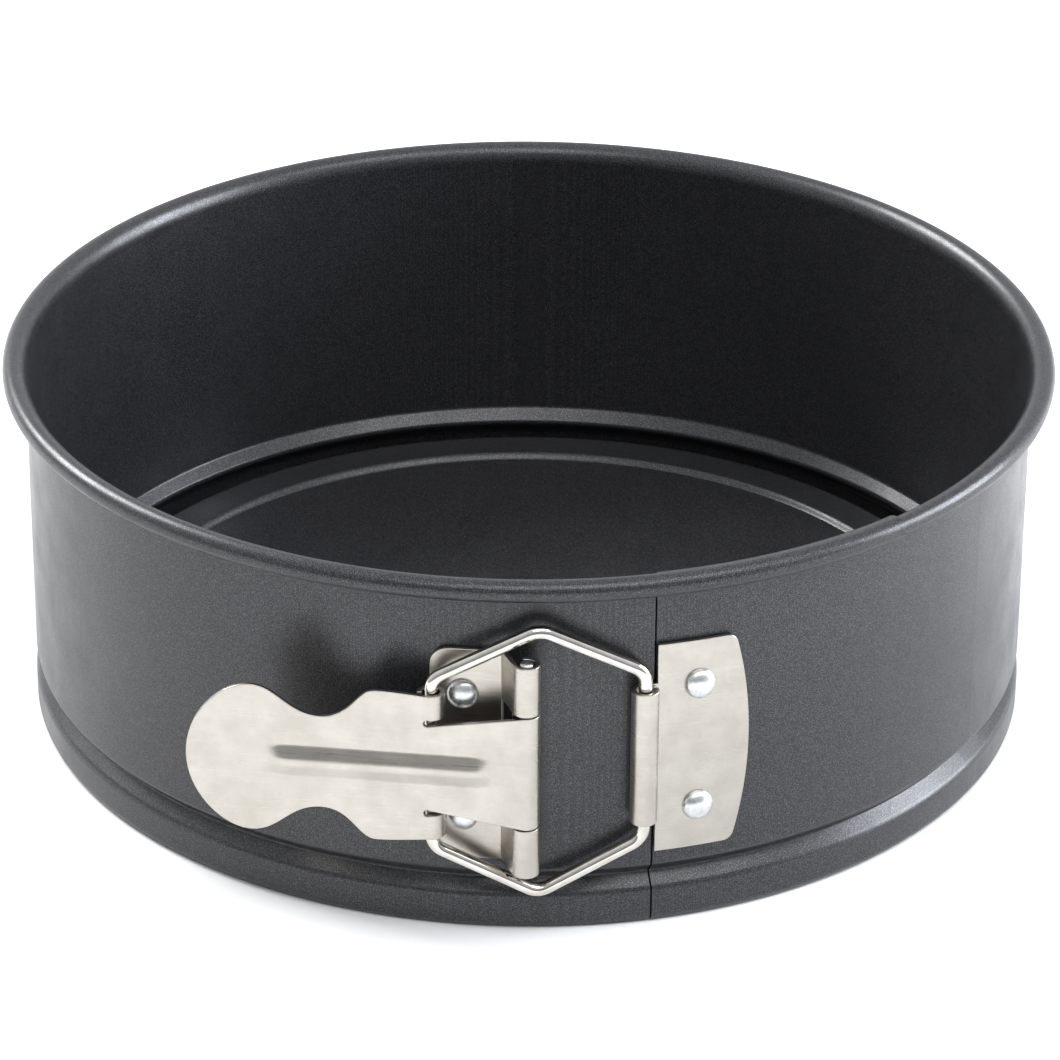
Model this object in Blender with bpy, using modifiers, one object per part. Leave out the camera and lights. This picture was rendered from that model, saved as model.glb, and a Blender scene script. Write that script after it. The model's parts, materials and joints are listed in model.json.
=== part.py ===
import bpy
import bmesh
from math import asin, atan2, cos, pi, radians, sin, tan
from mathutils import Vector

# A springform cake pan: a sprung steel band with a curled rim and an over-centre latch,
# and a loose base plate. Metres, +Z up, standing on Z = 0 with the latch towards -Y.
# Angles round the pan start at the hinge pin of the latch and grow towards +X.

# Band
INNER_RADIUS = 0.1018  # an eight-inch cake
TOTAL_HEIGHT = 0.0770
SHEET = 0.0006
CURL_RADIUS = 0.0022  # outside of the rolled rim
SHOULDER_REACH = 0.0027  # the wall turns out this far before it rolls over
SHOULDER_HEIGHT = 0.0036
RIDGE_DEPTH = 0.0024  # inward ridge over the base plate
RIDGE_HEIGHT = 0.0103
RIDGE_NOSE = 0.0007
RIDGE_SLOPE = radians(45)  # of the ledge above the ridge and of the slope under it
BEAD_REACH = 0.0002  # bead under the ridge stands out this far from the wall
BEAD_SHOULDER = 0.0020
BEAD_CORNER = 0.0016
LIP_WIDTH = 0.0079  # inturned lip at the bottom
SEAM = 0.0246  # from the hinge pin round the wall to the visible seam
TONGUE_LENGTH = 0.0508  # tongue of the left end inside the right end
JOGGLE = 0.0016
LAP_GAP = 0.0004
FLEX_ANGLES = (60, 120)  # where the band's bending is gathered, each side of the latch

# Base plate
BASE_CLEARANCE = 0.0004  # between the skirt and the ridge of the tongue
SKIRT_HEIGHT = 0.0063
SKIRT_DRAFT = 0.0010
BASE_BORDER = 0.0086  # flat border round the recessed floor
FLOOR_DROP = 0.0012

# Latch
LATCH_HEIGHT = 0.0389  # middle of the latch above the table
PLATE = 0.00095
PIN_RADIUS = 0.00135
WIRE_RADIUS = 0.00135
BORE_CLEARANCE = 0.00035
PIN_STANDOFF = 0.0060  # hinge pin's axis to the outside of the wall
HINGE_HALF_HEIGHT = 0.0226
HINGE_WIDTH = 0.0181
HINGE_CORNER = 0.0025
KNUCKLE_HALF_HEIGHT = 0.0120
BARREL_DISTANCE = 0.0219  # from the hinge pin round the wall
BARREL_HALF_HEIGHT = 0.0142
BAIL_PLATE_HALF_HEIGHT = 0.0224
BAIL_PLATE_WIDTH = 0.0154
BAIL_PLATE_BULGE = 0.0032
RIVET_HALF_PITCH = 0.0132
HINGE_RIVET_INSET = 0.0062  # from the free edge of the hinge bracket
BAIL_RIVET_INSET = 0.0083  # from the seam
RIVET_SHANK = 0.0015
RIVET_HEAD = 0.0026
RIVET_EDGE = 0.0003  # straight edge under the dome
RIVET_DOME = 0.0015
LEVER_LENGTH = 0.0645
LEVER_TILT = radians(7.1)  # closed lever leans in towards the wall
EAR_ARM = 0.0180  # hinge pin to the bail's pivot
TONGUE_HALF_WIDTH = 0.0091
EAR_HALF_WIDTH = 0.0154
SLOT = 0.0012
SLOT_DEPTH = 0.0004  # the slots run this far past the bail's pivot
WIDEST = 0.0288  # from the hinge pin to the lever's shoulder
WIDEST_HALF_WIDTH = 0.0160
WAIST = 0.0405
WAIST_HALF_WIDTH = 0.0098
HEAD = 0.0522
HEAD_HALF_WIDTH = 0.0157
WAVE = 0.0041  # length of the curve handles along the lever's edge
HEAD_HANDLE = 0.0062
TIP_HANDLE = 0.0088
RIB_HALF_WIDTH = 0.0032
RIB_RISE = 0.0010
RIB_ENDS = (0.0070, 0.0480)
BAIL_CORNER_HALF_HEIGHT = 0.0180
BAIL_PEAK_HALF_HEIGHT = 0.0284
BAIL_PEAK_X = 0.0024
BAIL_PEAK_OUT = 0.0014  # the peaks stand out from the line between the two pivots
BAIL_BEND = 0.0040

# Fits
PLAY = 0.0003
FACET = radians(6)

# Derived sizes
WALL_OUTER = INNER_RADIUS + SHEET
WALL_MIDDLE = INNER_RADIUS + SHEET / 2
LAP = SHEET + LAP_GAP
CURL_MIDDLE = CURL_RADIUS - SHEET / 2
CURL_CENTRE = (WALL_MIDDLE + SHOULDER_REACH, TOTAL_HEIGHT - CURL_RADIUS)
RIM_RADIUS = CURL_CENTRE[0] + CURL_RADIUS
LIP_INNER = WALL_MIDDLE + BEAD_REACH - LIP_WIDTH
PIN_DISTANCE = WALL_OUTER + PIN_STANDOFF
PLATE_MIDDLE = WALL_OUTER + PLAY + PLATE / 2
PIN_ROLL = PIN_RADIUS + BORE_CLEARANCE + PLATE / 2
WIRE_ROLL = WIRE_RADIUS + BORE_CLEARANCE + PLATE / 2
SEAM_ANGLE = SEAM / WALL_OUTER
TONGUE_END = SEAM_ANGLE + TONGUE_LENGTH / WALL_OUTER
BARREL_ANGLE = BARREL_DISTANCE / WALL_OUTER
FLEX_GAP = PLAY / WALL_OUTER
HINGE_RIVET_ANGLE = (HINGE_WIDTH - HINGE_RIVET_INSET) / WALL_OUTER
BAIL_RIVET_ANGLE = (SEAM + BAIL_RIVET_INSET) / WALL_OUTER
ROLL_TURN = radians(285)  # how far the lever's and the bail bracket's edges are rolled
HINGE_ROLL_TURN = radians(270)
ROLL_FACET = radians(24)
MERGE = 0.00001


def clear_scene():
    for old in list(bpy.data.objects):
        bpy.data.objects.remove(old, do_unlink=True)


def make_collection(name):
    collection = bpy.data.collections.new(name)
    bpy.context.scene.collection.children.link(collection)
    return collection


def make_material(name, colour, roughness, metallic):
    material = bpy.data.materials.new(name)
    material.use_nodes = True
    shader = material.node_tree.nodes["Principled BSDF"]
    shader.inputs["Base Color"].default_value = (*colour, 1)
    shader.inputs["Roughness"].default_value = roughness
    shader.inputs["Metallic"].default_value = metallic
    return material


def add_object(name, mesh, material, location=(0, 0, 0), turn=0.0):
    piece = bpy.data.objects.new(name, mesh)
    piece.location = location
    piece.rotation_euler.z = turn
    piece.parent = pan_axis
    mesh.materials.append(material)
    parts.objects.link(piece)
    return piece


def add_solidify(piece, thickness):
    wall = piece.modifiers.new("sheet", "SOLIDIFY")
    wall.thickness = thickness
    wall.offset = 0
    wall.use_even_offset = True


def add_turn(piece, steps):
    """A full turn of the profile, closed at the axis."""
    screw = piece.modifiers.new("turn", "SCREW")
    screw.steps = steps
    screw.render_steps = steps
    screw.use_merge_vertices = True
    screw.merge_threshold = MERGE


def mesh_of(name, points, edges=(), faces=()):
    mesh = bpy.data.meshes.new(name)
    mesh.from_pydata([tuple(point) for point in points], edges, faces)
    return mesh


def round_pan(angle, radius, height=0.0):
    """A point at an angle round the pan, measured from the latch."""
    return Vector((radius * sin(angle), -radius * cos(angle), height))


def arc_points(centre, radius, start, end, count):
    """Points of an arc in a plane, both ends included."""
    angles = [start + (end - start) * step / (count - 1) for step in range(count)]
    return [(centre[0] + radius * cos(a), centre[1] + radius * sin(a)) for a in angles]


def band_profile(curl):
    """Middle of the sheet as (radius, height), from the lip to the end of the curl."""
    bead = WALL_MIDDLE + BEAD_REACH
    lip_height = SHEET / 2
    points = [(LIP_INNER, lip_height)]
    corner = (bead - BEAD_CORNER, lip_height + BEAD_CORNER)
    points += arc_points(corner, BEAD_CORNER, -pi / 2, 0, 4)

    nose = (WALL_MIDDLE - RIDGE_DEPTH + RIDGE_NOSE, RIDGE_HEIGHT)
    nose_arc = arc_points(nose, RIDGE_NOSE, pi + RIDGE_SLOPE, pi - RIDGE_SLOPE, 4)
    shoulder_run = BEAD_SHOULDER * (1 - cos(RIDGE_SLOPE))
    slope_run = bead - shoulder_run - nose_arc[0][0]
    shoulder_top = nose_arc[0][1] - slope_run * tan(RIDGE_SLOPE)
    shoulder = (bead - BEAD_SHOULDER, shoulder_top - BEAD_SHOULDER * sin(RIDGE_SLOPE))
    points += arc_points(shoulder, BEAD_SHOULDER, 0, RIDGE_SLOPE, 3)
    points += nose_arc
    ledge_run = WALL_MIDDLE - nose_arc[-1][0]
    points.append((WALL_MIDDLE, nose_arc[-1][1] + ledge_run * tan(RIDGE_SLOPE)))

    turn_height = CURL_CENTRE[1] + CURL_MIDDLE - SHOULDER_HEIGHT
    rise = CURL_CENTRE[1] + curl - turn_height
    for share in (1, 0.75, 0.5, 0.25):
        reach = SHOULDER_REACH * cos(share * pi / 2 - pi / 2)
        points.append((CURL_CENTRE[0] - reach, turn_height + rise * cos(share * pi / 2)))
    points += arc_points(CURL_CENTRE, curl, pi / 2, radians(-100), 8)
    return points


def moved_inwards(profile, distance):
    """The profile shifted square to itself, to the side that faces the cake."""
    moved = []
    for index, point in enumerate(profile):
        before = Vector(profile[max(index - 1, 0)])
        after = Vector(profile[min(index + 1, len(profile) - 1)])
        here = Vector(point)
        first = (here - before).normalized() if index else (after - here).normalized()
        last = (after - here).normalized() if after != here else first
        across = Vector((-first.y - last.y, first.x + last.x)).normalized()
        share = across.dot(Vector((-first.y, first.x)))
        moved.append(tuple(here + across * distance / share))
    return moved


def turned_arc(name, profile, start, end, material):
    """A stretch of band whose section stays the same: the profile swept by a Screw."""
    points = [(radius, 0, height) for radius, height in profile]
    edges = [(index, index + 1) for index in range(len(points) - 1)]
    piece = add_object(name, mesh_of(name, points, edges), material, turn=start - pi / 2)
    screw = piece.modifiers.new("sweep", "SCREW")
    screw.angle = end - start
    screw.steps = round((end - start) / FACET)
    screw.render_steps = screw.steps
    screw.use_merge_vertices = False
    add_solidify(piece, SHEET)
    return piece


def lofted_arc(name, sections, material):
    """A stretch of band whose section changes: rings of points, each at its own angle."""
    points = []
    faces = []
    size = len(sections[0][1])
    for angle, profile in sections:
        points += [round_pan(angle, radius, height) for radius, height in profile]
    for ring in range(len(sections) - 1):
        for index in range(size - 1):
            corner = ring * size + index
            faces.append((corner, corner + 1, corner + size + 1, corner + size))
    piece = add_object(name, mesh_of(name, points, faces=faces), material)
    add_solidify(piece, SHEET)
    return piece


def even_angles(start, end):
    count = max(2, round((end - start) / FACET) + 1)
    return [start + (end - start) * step / (count - 1) for step in range(count)]


def drill_for_rivets(piece, angle):
    """Two round holes through the wall, one above the other."""
    for side in (-1, 1):
        name = f"{piece.name}_hole_{'lower' if side < 0 else 'upper'}"
        data = bmesh.new()
        bmesh.ops.create_cone(
            data, cap_ends=True, segments=16, depth=8 * SHEET,
            radius1=RIVET_SHANK + PLAY, radius2=RIVET_SHANK + PLAY,
        )
        mesh = bpy.data.meshes.new(name)
        data.to_mesh(mesh)
        data.free()
        cutter = bpy.data.objects.new(name, mesh)
        cutter.location = round_pan(angle, WALL_MIDDLE, LATCH_HEIGHT + side * RIVET_HALF_PITCH)
        cutter.rotation_euler = (pi / 2, 0, angle)
        cutter.parent = pan_axis
        cutter.hide_render = True
        cutter.display_type = "WIRE"
        cutters.objects.link(cutter)
        hole = piece.modifiers.new("rivet hole", "BOOLEAN")
        hole.operation = "DIFFERENCE"
        hole.object = cutter


def build_band(material):
    plain = band_profile(CURL_MIDDLE)
    swaged = band_profile(CURL_MIDDLE - LAP)
    inside = moved_inwards(swaged, LAP)
    near, far = (radians(angle) for angle in FLEX_ANGLES)
    turned_arc("band_back", plain, far + FLEX_GAP / 2, 2 * pi - far - FLEX_GAP / 2, material)
    turned_arc("band_right_side", plain, near + FLEX_GAP / 2, far - FLEX_GAP / 2, material)
    turned_arc("band_left_side", plain, -far + FLEX_GAP / 2, -near - FLEX_GAP / 2, material)

    joggle_end = SEAM_ANGLE - FLEX_GAP
    joggle_start = joggle_end - JOGGLE / WALL_OUTER
    sections = [(angle, plain) for angle in even_angles(-near + FLEX_GAP / 2, joggle_start)]
    sections += [(angle, inside) for angle in even_angles(joggle_end, TONGUE_END)]
    left = lofted_arc("band_left_front", sections, material)
    drill_for_rivets(left, -HINGE_RIVET_ANGLE)

    swage_end = TONGUE_END + FLEX_GAP
    full_start = swage_end + JOGGLE / WALL_OUTER
    sections = [(angle, swaged) for angle in even_angles(SEAM_ANGLE, swage_end)]
    sections += [(angle, plain) for angle in even_angles(full_start, near - FLEX_GAP / 2)]
    right = lofted_arc("band_right_front", sections, material)
    drill_for_rivets(right, BAIL_RIVET_ANGLE)


def build_base(material):
    """One pressing: a drafted skirt, a flat border and a floor set slightly lower."""
    tongue_ridge = WALL_MIDDLE - RIDGE_DEPTH - LAP - SHEET / 2
    skirt_foot = tongue_ridge - BASE_CLEARANCE - SHEET / 2
    foot_height = SHEET + LAP + PLAY
    border_height = foot_height + SKIRT_HEIGHT
    border_edge = skirt_foot - SKIRT_DRAFT
    floor_edge = border_edge - BASE_BORDER
    corner = RIDGE_NOSE
    points = [(skirt_foot, foot_height)]
    points += arc_points((border_edge - corner, border_height - corner), corner, 0, pi / 2, 4)
    for share in (0, 0.25, 0.5, 0.75, 1):
        fall = FLOOR_DROP * (1 - cos(share * pi)) / 2
        points.append((floor_edge - 1.5 * FLOOR_DROP * share, border_height - fall))
    points.append((0, border_height - FLOOR_DROP))
    outline = [(radius, 0, height) for radius, height in reversed(points)]
    edges = [(index, index + 1) for index in range(len(outline) - 1)]
    base = add_object("base_plate", mesh_of("base_plate", outline, edges), material)
    add_turn(base, round(2 * pi / FACET))
    add_solidify(base, SHEET)
    return base


def wall_path(start, end, axis, roll_radius, roll_turn):
    """Path of a plate in plan, as (point, length so far), from its free edge on the wall
    to the end of its roll. Where the roll's axis stands off, a straight run leads to it."""
    count = max(2, round(abs(end - start) / radians(3)) + 1)
    angles = [start + (end - start) * step / (count - 1) for step in range(count)]
    points = [round_pan(angle, PLATE_MIDDLE) for angle in angles]
    offset = points[-1] - axis
    stands_off = offset.length > roll_radius + MERGE
    if stands_off:
        spread = asin(roll_radius / offset.length)
        run = offset.length * cos(spread)
        heading = atan2(-offset.y, -offset.x) - spread
        touch = points[-1] + run * Vector((cos(heading), sin(heading), 0))
        first = atan2(touch.y - axis.y, touch.x - axis.x)
    else:
        first = atan2(offset.y, offset.x)
    count = round(roll_turn / ROLL_FACET) + 1
    for step in range(0 if stands_off else 1, count):
        angle = first + roll_turn * step / (count - 1)
        points.append(axis + roll_radius * Vector((cos(angle), sin(angle), 0)))
    lengths = [0.0]
    for before, after in zip(points, points[1:]):
        lengths.append(lengths[-1] + (after - before).length)
    return list(zip(points, lengths))


def along(path, length):
    """The point of a plan path at a length from its start."""
    for (before, start), (after, end) in zip(path, path[1:]):
        if length <= end or after is path[-1][0]:
            return before + (after - before) * (length - start) / (end - start)


def flat_blank(name, outline, holes=()):
    """A flat sheet cut to an outline of (u, v, handle u, handle v), as triangles."""
    curve = bpy.data.curves.new(name, "CURVE")
    curve.dimensions = "2D"
    curve.fill_mode = "BOTH"
    curve.resolution_u = 6
    spline = curve.splines.new("BEZIER")
    spline.bezier_points.add(len(outline) - 1)
    spline.use_cyclic_u = True
    for knot, (u, v, handle_u, handle_v) in zip(spline.bezier_points, outline):
        straight = handle_u == 0 and handle_v == 0
        knot.handle_left_type = "VECTOR" if straight else "FREE"
        knot.handle_right_type = knot.handle_left_type
        knot.co = (u, v, 0)
        if not straight:
            knot.handle_left = (u - handle_u, v - handle_v, 0)
            knot.handle_right = (u + handle_u, v + handle_v, 0)
    for u, v, radius in holes:
        hole = curve.splines.new("POLY")
        rim = arc_points((u, v), radius, 0, 2 * pi, 17)[:-1]
        hole.points.add(len(rim) - 1)
        hole.use_cyclic_u = True
        for knot, (x, y) in zip(hole.points, rim):
            knot.co = (x, y, 0, 1)
    drawn = bpy.data.objects.new(name, curve)
    bpy.context.scene.collection.objects.link(drawn)
    graph = bpy.context.evaluated_depsgraph_get()
    mesh = bpy.data.meshes.new_from_object(drawn.evaluated_get(graph))
    bpy.data.objects.remove(drawn, do_unlink=True)
    bpy.data.curves.remove(curve)
    mesh.materials.clear()
    return mesh


def bend(target, mesh, cuts_u, cuts_v, place):
    """Adds a flat blank to a mesh, cut along its bend lines and bent to its place."""
    blank = bmesh.new()
    blank.from_mesh(mesh)
    bmesh.ops.remove_doubles(blank, verts=blank.verts, dist=MERGE)
    lines = [((cut, 0, 0), (1, 0, 0)) for cut in cuts_u]
    lines += [((0, cut, 0), (0, 1, 0)) for cut in cuts_v]
    for point, normal in lines:
        everything = list(blank.verts) + list(blank.edges) + list(blank.faces)
        bmesh.ops.bisect_plane(
            blank, geom=everything, plane_co=point, plane_no=normal, dist=2 * MERGE,
        )
    for vertex in blank.verts:
        vertex.co = place(vertex.co.x, vertex.co.y)
    blank.to_mesh(mesh)
    blank.free()
    target.from_mesh(mesh)
    bpy.data.meshes.remove(mesh)


def bracket(name, mesh, path, material):
    """A flat blank bent along a plan path, with its middle at the latch's height."""

    def place(u, v):
        return along(path, u) + Vector((0, 0, LATCH_HEIGHT + v))

    bent = bmesh.new()
    bend(bent, mesh, [length for _, length in path[1:-1]], [], place)
    bmesh.ops.remove_doubles(bent, verts=bent.verts, dist=2 * MERGE)
    bmesh.ops.dissolve_degenerate(bent, edges=bent.edges, dist=MERGE)
    shape = bpy.data.meshes.new(name)
    bent.to_mesh(shape)
    bent.free()
    piece = add_object(name, shape, material)
    add_solidify(piece, PLATE)
    return piece


def rivet_holes(distance):
    radius = RIVET_SHANK + PLAY
    return [(distance, side * RIVET_HALF_PITCH, radius) for side in (-1, 1)]


def build_hinge_bracket(material):
    """Plate on the left of the seam: it steps out to two knuckles round the hinge pin."""
    outer_edge = -HINGE_WIDTH / WALL_OUTER
    foot = -(2 * PIN_ROLL) / WALL_OUTER
    path = wall_path(outer_edge, foot, round_pan(0, PIN_DISTANCE), PIN_ROLL, HINGE_ROLL_TURN)
    on_wall = (foot - outer_edge) * PLATE_MIDDLE
    end = path[-1][1]
    high = HINGE_HALF_HEIGHT
    notch = KNUCKLE_HALF_HEIGHT + PLAY
    notch_start = on_wall - PLATE
    corner = HINGE_CORNER
    upper = [
        (notch_start, notch, 0, 0), (end, notch, 0, 0), (end, high, 0, 0),
        (corner, high, 0, 0), (0, high - 2 * corner, 0, 0),
    ]
    lower = [(u, -v, 0, 0) for u, v, _, _ in reversed(upper)]
    mesh = flat_blank("hinge_bracket", upper + lower, rivet_holes(HINGE_RIVET_INSET))
    return bracket("hinge_bracket", mesh, path, material)


def build_bail_bracket(material):
    """Plate on the right of the seam: its left edge is rolled into the bail's barrel."""
    free_edge = (SEAM + BAIL_PLATE_WIDTH + BAIL_PLATE_BULGE) / WALL_OUTER
    axis = round_pan(BARREL_ANGLE, PLATE_MIDDLE + WIRE_ROLL)
    path = wall_path(free_edge, BARREL_ANGLE, axis, WIRE_ROLL, ROLL_TURN)
    end = path[-1][1]
    inner = (free_edge - SEAM_ANGLE) * PLATE_MIDDLE
    high = BAIL_PLATE_HALF_HEIGHT
    barrel = BARREL_HALF_HEIGHT
    upper = [
        (end, barrel, 0, 0), (inner, barrel, 0, 0), (inner, high, 0, 0),
        (BAIL_PLATE_BULGE, high, 0, 0),
    ]
    lower = [(u, -v, 0, 0) for u, v, _, _ in reversed(upper)]
    free = [(0, 0, 0, -high / 2)]
    drilled = rivet_holes((free_edge - BAIL_RIVET_ANGLE) * PLATE_MIDDLE)
    mesh = flat_blank("bail_bracket", upper + free + lower, drilled)
    return bracket("bail_bracket", mesh, path, material)


def build_rivet(name, angle, height, inside_head, material):
    """Domed head outside the plate. The inner end is a flat head, or flush in the wall."""
    under_head = WALL_OUTER + 2 * PLAY + PLATE
    crown = under_head + RIVET_EDGE
    profile = [(0, under_head + RIVET_DOME)]
    for share in (0.75, 0.5, 0.25, 0):
        rise = (RIVET_DOME - RIVET_EDGE) * sin(share * pi / 2)
        profile.append((RIVET_HEAD * cos(share * pi / 2), crown + rise))
    profile += [(RIVET_HEAD, under_head), (RIVET_SHANK, under_head)]
    if inside_head:
        seat = INNER_RADIUS - PLAY
        profile += [(RIVET_SHANK, seat), (RIVET_HEAD, seat)]
        profile += [(RIVET_HEAD, seat - SHEET), (0, seat - SHEET)]
    else:
        profile += [(RIVET_SHANK, INNER_RADIUS), (0, INNER_RADIUS)]
    points = [(radius, 0, distance) for radius, distance in profile]
    edges = [(index, index + 1) for index in range(len(points) - 1)]
    rivet = add_object(name, mesh_of(name, points, edges), material, round_pan(0, 0, height))
    rivet.rotation_euler = (pi / 2, 0, angle)
    add_turn(rivet, 16)
    return rivet


def build_pin(material):
    """Hinge pin, its ends a little inside the outer knuckles."""
    data = bmesh.new()
    length = 2 * (HINGE_HALF_HEIGHT - PLATE / 2)
    bmesh.ops.create_cone(
        data, cap_ends=True, segments=16, depth=length, radius1=PIN_RADIUS, radius2=PIN_RADIUS,
    )
    ends = [edge for edge in data.edges if abs(edge.verts[0].co.z - edge.verts[1].co.z) < 1e-6]
    bmesh.ops.bevel(data, geom=ends, offset=PIN_RADIUS / 4, segments=1, affect="EDGES")
    mesh = bpy.data.meshes.new("hinge_pin")
    data.to_mesh(mesh)
    data.free()
    return add_object("hinge_pin", mesh, material, round_pan(0, PIN_DISTANCE, LATCH_HEIGHT))


def lever_blank():
    """Flat outline of the lever's body, with the slots beside its tongue."""
    half = TONGUE_HALF_WIDTH
    slot_end = EAR_ARM + SLOT_DEPTH
    ear_inner = half + SLOT
    upper = [
        (slot_end, half, 0, 0), (slot_end + SLOT / 2, half + SLOT / 2, 0, 0),
        (slot_end, ear_inner, 0, 0), (EAR_ARM, ear_inner, 0, 0),
        (EAR_ARM, EAR_HALF_WIDTH, 0, 0), (WIDEST, WIDEST_HALF_WIDTH, WAVE, 0),
        (WAIST, WAIST_HALF_WIDTH, WAVE, 0), (HEAD, HEAD_HALF_WIDTH, HEAD_HANDLE, 0),
    ]
    lower = [(u, -v, -handle, 0) for u, v, handle, _ in reversed(upper)]
    tip = [(LEVER_LENGTH, 0, 0, -TIP_HANDLE)]
    knuckle = [(0, -KNUCKLE_HALF_HEIGHT, 0, 0), (0, KNUCKLE_HALF_HEIGHT, 0, 0)]
    return flat_blank("lever", upper + tip + lower + knuckle)


def strip_blank(start, end, low, high):
    corners = [(start, low, 0, 0), (end, low, 0, 0), (end, high, 0, 0), (start, high, 0, 0)]
    return flat_blank("strip", corners)


def rolled(axis_u, radius):
    """Where a point of the lever's flat blank goes when its end is rolled round an axis."""

    def place(u, v):
        turn = (axis_u - u) / radius
        return Vector((radius * sin(turn) - axis_u, -radius * cos(turn), v))

    return place


def roll_lines(axis_u, radius):
    count = round(ROLL_TURN / ROLL_FACET)
    return [axis_u - radius * ROLL_TURN * step / count for step in range(1, count)]


def ribbed(u, v):
    """Where a point of the lever's flat blank goes: in one plane, but for the pressed rib."""
    on_rib = abs(v) < RIB_HALF_WIDTH * 0.75
    between = RIB_ENDS[0] + RIB_RISE < u < RIB_ENDS[1] - RIB_RISE
    crown = RIB_RISE if on_rib and between else 0.0
    return Vector((-u, -PIN_ROLL - crown, v))


def build_lever(material):
    """Finger lever: its tongue is rolled round the pin, and its two ears round the bail."""
    wide = KNUCKLE_HALF_HEIGHT
    ear_inner = TONGUE_HALF_WIDTH + SLOT
    rib_slope = 2 * RIB_RISE
    rib_u = [RIB_ENDS[0], RIB_ENDS[0] + rib_slope, RIB_ENDS[1] - rib_slope, RIB_ENDS[1]]
    rib_v = [-RIB_HALF_WIDTH, -RIB_HALF_WIDTH / 2, RIB_HALF_WIDTH / 2, RIB_HALF_WIDTH]
    across = rib_v + [-ear_inner, ear_inner]
    whole = bmesh.new()
    bend(whole, lever_blank(), rib_u + [EAR_ARM], across, ribbed)
    # The tongue and the ears overlap in the flat, so each roll is cut from its own strip.
    knuckle = strip_blank(-PIN_ROLL * ROLL_TURN, 0, -wide, wide)
    bend(whole, knuckle, roll_lines(0, PIN_ROLL), across, rolled(0, PIN_ROLL))
    for side in (-1, 1):
        low, high = sorted((side * ear_inner, side * EAR_HALF_WIDTH))
        ear = strip_blank(EAR_ARM - WIRE_ROLL * ROLL_TURN, EAR_ARM, low, high)
        bend(whole, ear, roll_lines(EAR_ARM, WIRE_ROLL), [], rolled(EAR_ARM, WIRE_ROLL))
    bmesh.ops.remove_doubles(whole, verts=whole.verts, dist=3 * MERGE)
    bmesh.ops.recalc_face_normals(whole, faces=whole.faces)
    mesh = bpy.data.meshes.new("lever")
    whole.to_mesh(mesh)
    whole.free()
    pivot = round_pan(0, PIN_DISTANCE, LATCH_HEIGHT)
    lever = add_object("lever", mesh, material, pivot, -LEVER_TILT)
    add_solidify(lever, PLATE)
    return lever


def rounded_corner(before, corner, after, radius, count):
    """Points of the bend that rounds one corner of a wire."""
    inward = (before - corner).normalized()
    outward = (after - corner).normalized()
    half = inward.angle(outward) / 2
    centre = corner + (inward + outward).normalized() * radius / sin(half)
    start = corner + inward * radius / tan(half)
    end = corner + outward * radius / tan(half)
    sweep = (start - centre).angle(end - centre)
    points = []
    for step in range(count):
        share = step / (count - 1)
        first = sin((1 - share) * sweep) / sin(sweep)
        second = sin(share * sweep) / sin(sweep)
        points.append(centre + (start - centre) * first + (end - centre) * second)
    return points


def build_bail(material):
    """Six-sided wire loop. The run that turns inside the barrel is left open."""
    lever_axis = ear_axis()
    barrel_axis = round_pan(BARREL_ANGLE, PLATE_MIDDLE + WIRE_ROLL)
    peak_y = lever_axis.lerp(barrel_axis, 0.5).y - BAIL_PEAK_OUT
    upper = [
        barrel_axis + Vector((0, 0, BARREL_HALF_HEIGHT + PLAY)),
        barrel_axis + Vector((0, 0, BAIL_CORNER_HALF_HEIGHT)),
        Vector((BAIL_PEAK_X, peak_y, BAIL_PEAK_HALF_HEIGHT)),
        lever_axis + Vector((0, 0, BAIL_CORNER_HALF_HEIGHT)),
    ]
    route = upper + [Vector((point.x, point.y, -point.z)) for point in reversed(upper)]
    points = [route[0]]
    for before, corner, after in zip(route, route[1:], route[2:]):
        points += rounded_corner(before, corner, after, BAIL_BEND, 4)
    points.append(route[-1])
    curve = bpy.data.curves.new("bail", "CURVE")
    curve.dimensions = "3D"
    curve.bevel_depth = WIRE_RADIUS
    curve.bevel_resolution = 2
    curve.use_fill_caps = True
    spline = curve.splines.new("POLY")
    spline.points.add(len(points) - 1)
    for knot, point in zip(spline.points, points):
        knot.co = (*(point - lever_axis), 1)
    return add_object("bail", curve, material, lever_axis + Vector((0, 0, LATCH_HEIGHT)))


def ear_axis():
    """Axis that the bail turns on in the lever's ears, with the lever closed."""
    pin = round_pan(0, PIN_DISTANCE)
    return pin + EAR_ARM * Vector((-cos(LEVER_TILT), sin(LEVER_TILT), 0))


def centre_on_origin():
    """Puts the middle of the whole pan's depth over the origin."""
    bpy.context.view_layer.update()
    graph = bpy.context.evaluated_depsgraph_get()
    depths = []
    for piece in parts.objects:
        if piece.type == "EMPTY":
            continue
        shown = piece.evaluated_get(graph)
        depths += [(shown.matrix_world @ vertex.co).y for vertex in shown.to_mesh().vertices]
        shown.to_mesh_clear()
    pan_axis.location.y = -(min(depths) + max(depths)) / 2


clear_scene()
parts = make_collection("springform_pan")
cutters = make_collection("cutters")
pan_axis = bpy.data.objects.new("pan_axis", None)
parts.objects.link(pan_axis)

coating = make_material("coated_steel", (0.045, 0.047, 0.052), 0.42, 0.65)
nickel = make_material("satin_nickel", (0.62, 0.59, 0.55), 0.34, 1.0)
wire = make_material("bright_wire", (0.66, 0.64, 0.60), 0.18, 1.0)
rivet_metal = make_material("rivet_steel", (0.58, 0.59, 0.60), 0.30, 1.0)

build_band(coating)
build_base(coating)
build_hinge_bracket(nickel)
build_bail_bracket(nickel)
build_pin(rivet_metal)
build_lever(nickel)
build_bail(wire)
for side, level in ((1, "upper"), (-1, "lower")):
    rivet_height = LATCH_HEIGHT + side * RIVET_HALF_PITCH
    build_rivet(f"hinge_rivet_{level}", -HINGE_RIVET_ANGLE, rivet_height, True, rivet_metal)
    build_rivet(f"bail_rivet_{level}", BAIL_RIVET_ANGLE, rivet_height, False, rivet_metal)
centre_on_origin()
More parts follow.
